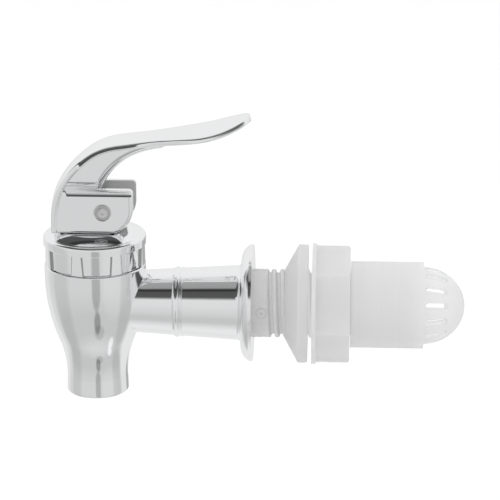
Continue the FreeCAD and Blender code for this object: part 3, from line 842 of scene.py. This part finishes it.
# %% Threaded shank
CREST_RADIUS = 7.85
ROOT_RADIUS = 7.05
FLANK_SPAN = (0.36, 0.70)
THREAD_RUN_IN = 0.5
THREAD_COLUMNS = 144
THREAD_STEP = 0.12
SHANK_END = 34.0
BORE_RADIUS = 4.6
PLUG_END = -12.0
PLUG_RADIUS = 7.0
PLUG_CHAMFER = 0.3
GROOVE = (-9.32, -7.88)
GROOVE_RADIUS = 5.61
PLAIN = (-0.5, 1.4)
PLUG_OUTLINE = (
    (PLUG_END, BORE_RADIUS), (PLUG_END, PLUG_RADIUS - PLUG_CHAMFER), (PLUG_END + PLUG_CHAMFER, PLUG_RADIUS),
    (GROOVE[0], PLUG_RADIUS), (GROOVE[0], GROOVE_RADIUS), (GROOVE[1], GROOVE_RADIUS),
    (GROOVE[1], PLUG_RADIUS), (PLAIN[0], PLUG_RADIUS), (PLAIN[0], CREST_RADIUS), (PLAIN[1], CREST_RADIUS),
)


def ramp_up(values, start, end):
    """Smooth step: 0 before start, 1 after end, and between them three times the square of the share less
    twice its cube."""
    share = np.clip((values - start) / (end - start), 0, 1)
    return share * share * (3 - 2 * share)


def thread_grid():
    """Points x along the axis and at the thread's radius: crest while the phase is near a whole number,
    root half a turn away. The phase is x over the pitch less the turn's share of a circle."""
    angle = -np.linspace(0, 2 * np.pi, THREAD_COLUMNS, endpoint=False)
    x = np.append(np.arange(THREAD_START, SHANK_END, THREAD_STEP), SHANK_END)
    phase = (x[:, None] - CREST_OFFSET) / PITCH - angle[None, :] / (2 * np.pi)
    from_crest = 2 * np.abs(phase - np.round(phase))
    depth = (CREST_RADIUS - ROOT_RADIUS) * ramp_up(from_crest, *FLANK_SPAN)
    depth = depth * ramp_up(x, THREAD_START, THREAD_START + THREAD_RUN_IN)[:, None]
    x = np.concatenate([[point[0] for point in PLUG_OUTLINE], x, [SHANK_END]])
    plain = np.repeat([[point[1]] for point in PLUG_OUTLINE], THREAD_COLUMNS, axis=1)
    back = np.full((1, THREAD_COLUMNS), BORE_RADIUS)
    radius = np.concatenate([plain, CREST_RADIUS - depth, back])
    along = np.repeat(x[:, None], THREAD_COLUMNS, axis=1)
    return np.stack([along, radius * np.cos(angle), radius * np.sin(angle)], axis=-1)


threaded_shank = mesh_from_grid("threaded_shank", thread_grid() / MM_PER_METRE, close_u=True, close_v=True)
threaded_shank.data.materials.append(shank_plastic)
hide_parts("shank")
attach(threaded_shank, "spigot")

# %% [markdown]
# ## Is it closed?
# A mesh whose faces point outwards has a positive volume, which is also easy to compare with the solid's.
# A mesh that is inside out has a negative one.

# %% Volume
def enclosed(mesh):
    """Volume inside a closed mesh in cubic mm, positive if its faces point outwards: a sixth of the sum
    over the triangles of one corner dotted with the cross product of the other two."""
    mesh.calc_loop_triangles()
    corners = np.empty(len(mesh.vertices) * 3)
    mesh.vertices.foreach_get("co", corners)
    index = np.empty(len(mesh.loop_triangles) * 3, dtype=int)
    mesh.loop_triangles.foreach_get("vertices", index)
    a, b, c = corners.reshape(-1, 3)[index].reshape(-1, 3, 3).transpose(1, 0, 2)
    return float(np.einsum("ij,ij->i", a, np.cross(b, c)).sum() / 6 * MM_PER_METRE ** 3)


print("shank volume", round(enclosed(threaded_shank.data)), "cubic mm")

# %% [markdown]
# ## The strainer's skin
# The sleeve has the same thread inside. Through its milky wall the turns show as faint upright lines, which
# fade out where the shank ends inside it. They are painted shade: a change of tone that follows the
# thread's phase, three lines to a turn, broken up by streaks that run round the sleeve, and a little bump.

# %% Strainer plastic
LINES_FROM = (0.0235, 0.002)
LINES_TO = (0.0372, 0.004)
LINES_PER_TURN = 3
LINES_SHARE = 0.5
STREAK_SCALE = (900.0, 30.0, 30.0)
STREAK = (1.0, 2.0)
STRAINER_GREYS = (grey(224), grey(216))
STRAINER_ROUGHNESS = 0.42
LINES_BUMP = (0.10, 0.0001)


def strainer_finish():
    """The lines are the sine of the thread's phase, brought from between -1 and 1 to between 0 and 1."""
    f = new_finish("strainer_plastic")
    x, y, z = f.xyz()
    lines = (thread_phase(f, x, y, z) * LINES_PER_TURN).sine() * 0.5 + 0.5
    stretched = f.node("ShaderNodeVectorMath", {"operation": "MULTIPLY"}, {0: f.place(), 1: STREAK_SCALE})
    streaks = f.noise(*STREAK, stretched)
    band = x.above(*LINES_FROM) * x.below(*LINES_TO)
    # The lines are painted shade of the thread inside the wall; the streaks are a random tone.
    shade = (lines * LINES_SHARE + streaks * (1 - LINES_SHARE)) * band
    return milky_surface(f, f.mix(shade, *STRAINER_GREYS), f.noise(*CLOUD), STRAINER_ROUGHNESS,
                         f.bump(shade, *LINES_BUMP))


strainer_plastic = strainer_finish()
print("lines from x", mm(LINES_FROM[0]), "to", mm(LINES_TO[0]))

# %% [markdown]
# ## Steel, rubber and the stem
# The spring and its washer are drawn and rolled stainless steel. The O-ring is black rubber and the stem
# is acetal, which is whiter and harder than the shank's plastic.

# %% Steel and rubber
STEEL = (0.62, 0.62, 0.63, 1)
DRAWN_STEEL = (0.5, 0.5, 0.51, 1)
DRAWN = (900.0, 2.0)
STEEL_ROUGHNESS = 0.2
DRAWN_ROUGHNESS = 0.15
SOLID_CLOUD = (200.0, 3.0)
SOLID_DARKER = 8
SOLID_GRAIN = (2200.0, 2.0)
SOLID_BUMP = (0.1, 0.0001)


def steel_finish():
    f = new_finish("spring_steel")
    drawn = f.noise(*DRAWN)
    return f.surface(Base_Color=f.mix(drawn, STEEL, DRAWN_STEEL), Metallic=1.0,
                     Roughness=drawn * DRAWN_ROUGHNESS + STEEL_ROUGHNESS)


def solid_finish(name, level, roughness):
    f = new_finish(name)
    cloud = f.noise(*SOLID_CLOUD)
    return f.surface(Base_Color=f.mix(cloud, grey(level), grey(level - SOLID_DARKER)),
                     Roughness=cloud * CLOUD_ROUGHNESS + roughness,
                     Normal=f.bump(f.noise(*SOLID_GRAIN), *SOLID_BUMP))


spring_steel = steel_finish()
stem_plastic = solid_finish("stem_plastic", level=214, roughness=0.35)
ring_rubber = solid_finish("ring_rubber", level=40, roughness=0.5)
print("made:", spring_steel.name, stem_plastic.name, ring_rubber.name)

# %% [markdown]
# ## Each solid gets its finish
# The solids come with plain materials. A solid whose shape is right only takes a better material in its
# slot, and the copies of the next cell take theirs from it.

# %% Dress the solids
FINISHES = {
    "valve_body": body_chrome,
    "bonnet_cap": cap_chrome,
    "lever": lever_chrome,
    "pivot_pin": pin_steel,
    "stem": stem_plastic,
    "seat_cup": silicone,
    "return_spring": spring_steel,
    "spring_washer": spring_steel,
    "shank": shank_plastic,
    "shank_ring": ring_rubber,
    "cone_gasket": silicone,
    "hex_nut": nut_plastic,
    "strainer": strainer_plastic,
}
for node, finish in FINISHES.items():
    solid = frame["nodes"][node]
    solid.data.materials.clear()
    solid.data.materials.append(finish)
print("finished nodes:", len(FINISHES))

# %% [markdown]
# ## Parts that ride with the seat
# The spring and the soft seat cup are held at the top, under the cap, and pushed up from below when the
# stem lifts. A rigid copy would go through the cap. Each is shown by a copy with a mesh of its own, which
# rides with the seat.

# %% Copies that ride with the seat
stem_lift = next(joint for joint in frame["record"]["behaviour"]["joints"] if joint["name"] == "stem_lift")
LIFT = stem_lift["range_m"][1]


def squeezed(node):
    """A copy of a node's mesh, with a mesh of its own, that rides with the seat. It hides the node and
    returns the node's height.
    """
    solid = frame["nodes"][node]
    copy = bpy.data.objects.new("squeezed_" + node, solid.data.copy())
    bpy.context.scene.collection.objects.link(copy)
    foot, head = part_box(node)
    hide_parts(node)
    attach(copy, "seat")
    1 - LIFT / (head.z - foot.z)
    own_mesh(copy)
    return head.z - foot.z


for node in ("return_spring", "seat_cup"):
    print(node, "gives", mm(LIFT, 2), "of", mm(squeezed(node)))

# %% [markdown]
# ## The lever's shoulders
# Beside the middle rib, the block's top doesn't end in a step: it slopes up from each side plate to the
# bridge and throws a bright facet. Each shoulder is a small bar whose section is a slightly hollow slope,
# carried along X. Its front end stops inside the strap.

# %% Shoulders
SHOULDER_X = (-43.2, -34.85)
SHOULDER_STEPS = 14
SLOPE_FOOT = (4.55, 27.86)
SLOPE_HEAD = (2.6, 28.84)
SLOPE_HOLLOW = 0.08
SLOPE_STEPS = 10
BASE_Z = 27.6
BASE_NARROWER = 0.1


def shoulder_section():
    """Points y, z: a straight slope less a half sine wave of the hollow, closed below by a flat base."""
    share = np.linspace(0, 1, SLOPE_STEPS)
    y = SLOPE_FOOT[0] + (SLOPE_HEAD[0] - SLOPE_FOOT[0]) * share
    z = SLOPE_FOOT[1] + (SLOPE_HEAD[1] - SLOPE_FOOT[1]) * share - SLOPE_HOLLOW * np.sin(np.pi * share)
    base = [[SLOPE_HEAD[0], BASE_Z], [SLOPE_FOOT[0] - BASE_NARROWER, BASE_Z]]
    return np.vstack([np.stack([y, z], axis=-1), base])


def shoulder_grid(side):
    """The section carried along X, its size 1, but 0 at both ends, where it is drawn in to its middle."""
    section = shoulder_section()
    x = np.concatenate([[SHOULDER_X[0]], np.linspace(*SHOULDER_X, SHOULDER_STEPS), [SHOULDER_X[1]]])
    size = np.ones_like(x)
    size[[0, -1]] = 0.0
    middle = section.mean(axis=0)
    points = middle + (section - middle)[None] * size[:, None, None]
    bar = np.concatenate([np.repeat(x[:, None, None], len(section), axis=1), points], axis=-1)
    bar[..., 1] *= side
    return bar[:, ::-1] if side > 0 else bar


for name, side in (("near_shoulder", -1), ("far_shoulder", 1)):
    shoulder = mesh_from_grid(name, shoulder_grid(side) / MM_PER_METRE, close_v=True)
    shoulder.data.materials.append(lever_chrome)
    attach(shoulder, "lever")
    print(name, "volume", round(enclosed(shoulder.data), 1), "cubic mm")

# %% [markdown]
# ## Look of the picture
# The Standard view shows a colour about as it is written. The two boxes show that nothing grew.

# %% Finish
bpy.context.scene.view_settings.view_transform = "Standard"
shown_box = [list(corner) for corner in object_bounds()]
growth = np.abs(np.array(shown_box) - np.array(cad_box)) * MM_PER_METRE
print("grew by", growth.round(2).tolist(), "mm")
